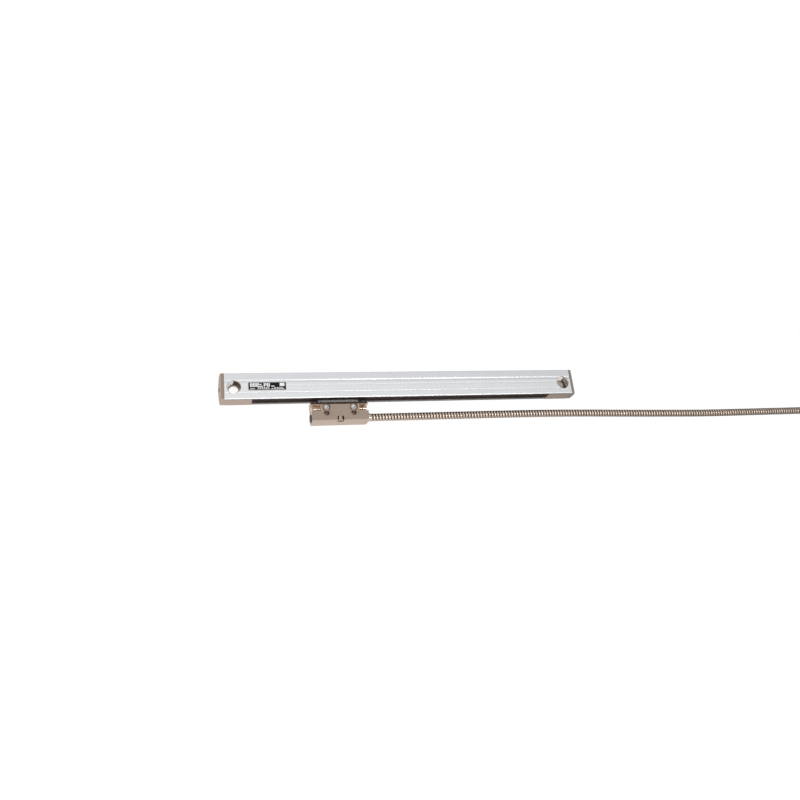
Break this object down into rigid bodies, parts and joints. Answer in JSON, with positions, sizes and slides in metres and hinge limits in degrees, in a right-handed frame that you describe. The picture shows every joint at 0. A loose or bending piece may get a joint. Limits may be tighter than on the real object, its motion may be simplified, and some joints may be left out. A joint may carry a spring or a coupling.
{
  "type": "linear glass scale",
  "caption": "Sealed linear encoder: slotted aluminium profile with a glass rule inside, a reading head sliding along it on a lip-sealed blade, and an armoured conduit with its connector.",
  "frame": {"origin": "on the mounting face (back), midway between the two end mounting holes", "axes": "+X along the scale towards the conduit outlet, +Z out of the front face, -Y the slot and reading head side"},
  "size_m": [0.719, 0.1065, 0.0373],
  "materials": {
    "profile": "clear anodised extrusion, satin",
    "casting": "warm grey, fine satin",
    "black_rubber": "matt elastomer",
    "steel_screw": "plain steel",
    "black_steel": "black oxide",
    "zinc_screw": "bright zinc plated",
    "scale_glass": "clear",
    "cushion": "elastic bead",
    "graduation_metal": "vapour-deposited film",
    "label": "printed film, blank",
    "circuit_board": "solder mask",
    "ground_steel": "ground and hardened",
    "black_plastic": "fine grain",
    "nickel": "nickel plated",
    "carriage_metal": "black anodised",
    "flex_film": "amber film",
    "white_plastic": "low-friction plastic",
    "conduit_steel": "interlocked stainless strip",
    "connector_metal": "die-cast hood",
    "connector_inner": "insert with contacts"
  },
  "bodies": {
    "scale_body": {"housing": "profile", "end_block_left": "casting", "end_block_right": "casting", "end_seal_left": "black_rubber", "end_seal_right": "black_rubber", "end_block_screws": "steel_screw", "port_plug_screws": "black_steel", "seal_lip_front": "black_rubber", "seal_lip_back": "black_rubber", "glass_scale": "scale_glass", "glass_cushion": "cushion", "graduation": "graduation_metal", "reference_marks": "graduation_metal", "label_plate": "label"},
    "reading_head": {"head_block": "casting", "head_cover": "casting", "cover_screws": "steel_screw", "amplifier_board": "circuit_board", "arm_blade": "ground_steel", "drive_pins": "ground_steel", "arm_clamp_screws": "zinc_screw", "bracket_screws": "zinc_screw", "lock_screw": "zinc_screw", "exit_plug": "black_plastic", "conduit_ferrule": "nickel", "carriage_frame": "carriage_metal", "scanning_reticle": "scale_glass", "detector_board": "circuit_board", "lamp_board": "circuit_board", "condenser_lens": "scale_glass", "flex_cable": "flex_film", "pressure_spring": "ground_steel", "glide_pads": "white_plastic", "roller_pins": "ground_steel", "conduit_run": "conduit_steel", "conduit_coil": "conduit_steel", "conduit_tail": "conduit_steel", "coil_ties": "black_plastic", "connector_hood": "connector_metal", "connector_ferrule": "nickel", "connector_shell": "nickel", "connector_pins": "connector_inner"},
    "face_roller_left": {"face_roller_left": "ground_steel"},
    "face_roller_right": {"face_roller_right": "ground_steel"},
    "face_roller_top": {"face_roller_top": "ground_steel"},
    "edge_roller_left": {"edge_roller_left": "ground_steel"},
    "edge_roller_right": {"edge_roller_right": "ground_steel"},
    "thumbscrew_left": {"thumbscrew_left": "nickel"},
    "thumbscrew_right": {"thumbscrew_right": "nickel"}
  },
  "joints": [
    {"name": "head_slide", "type": "slide", "parent": "scale_body", "child": "reading_head", "axis": [1, 0, 0], "range_m": [-0.047, 0.173]},
    {"name": "face_roller_left_spin", "type": "hinge", "parent": "reading_head", "child": "face_roller_left", "pos_m": [-0.081, 0.0001, 0.00495], "axis": [0, 1, 0], "continuous": true},
    {"name": "face_roller_right_spin", "type": "hinge", "parent": "reading_head", "child": "face_roller_right", "pos_m": [-0.045, 0.0001, 0.00495], "axis": [0, 1, 0], "continuous": true},
    {"name": "face_roller_top_spin", "type": "hinge", "parent": "reading_head", "child": "face_roller_top", "pos_m": [-0.063, 0.00545, 0.00495], "axis": [0, 1, 0], "continuous": true},
    {"name": "edge_roller_left_spin", "type": "hinge", "parent": "reading_head", "child": "edge_roller_left", "pos_m": [-0.0755, -0.00245, 0.0075], "axis": [0, 0, 1], "continuous": true},
    {"name": "edge_roller_right_spin", "type": "hinge", "parent": "reading_head", "child": "edge_roller_right", "pos_m": [-0.0505, -0.00245, 0.0075], "axis": [0, 0, 1], "continuous": true},
    {"name": "thumbscrew_left_spin", "type": "hinge", "parent": "reading_head", "child": "thumbscrew_left", "pos_m": [0.456, 0.0602, 0.02975], "axis": [1, 0, 0], "continuous": true},
    {"name": "thumbscrew_right_spin", "type": "hinge", "parent": "reading_head", "child": "thumbscrew_right", "pos_m": [0.456, 0.0352, 0.02975], "axis": [1, 0, 0], "continuous": true}
  ],
  "couplings": [
    {"joint": "face_roller_left_spin", "follows": "head_slide", "rad_per_m": -666.67},
    {"joint": "face_roller_right_spin", "follows": "head_slide", "rad_per_m": -666.67},
    {"joint": "face_roller_top_spin", "follows": "head_slide", "rad_per_m": -666.67},
    {"joint": "edge_roller_left_spin", "follows": "head_slide", "rad_per_m": 666.67},
    {"joint": "edge_roller_right_spin", "follows": "head_slide", "rad_per_m": 666.67}
  ]
}
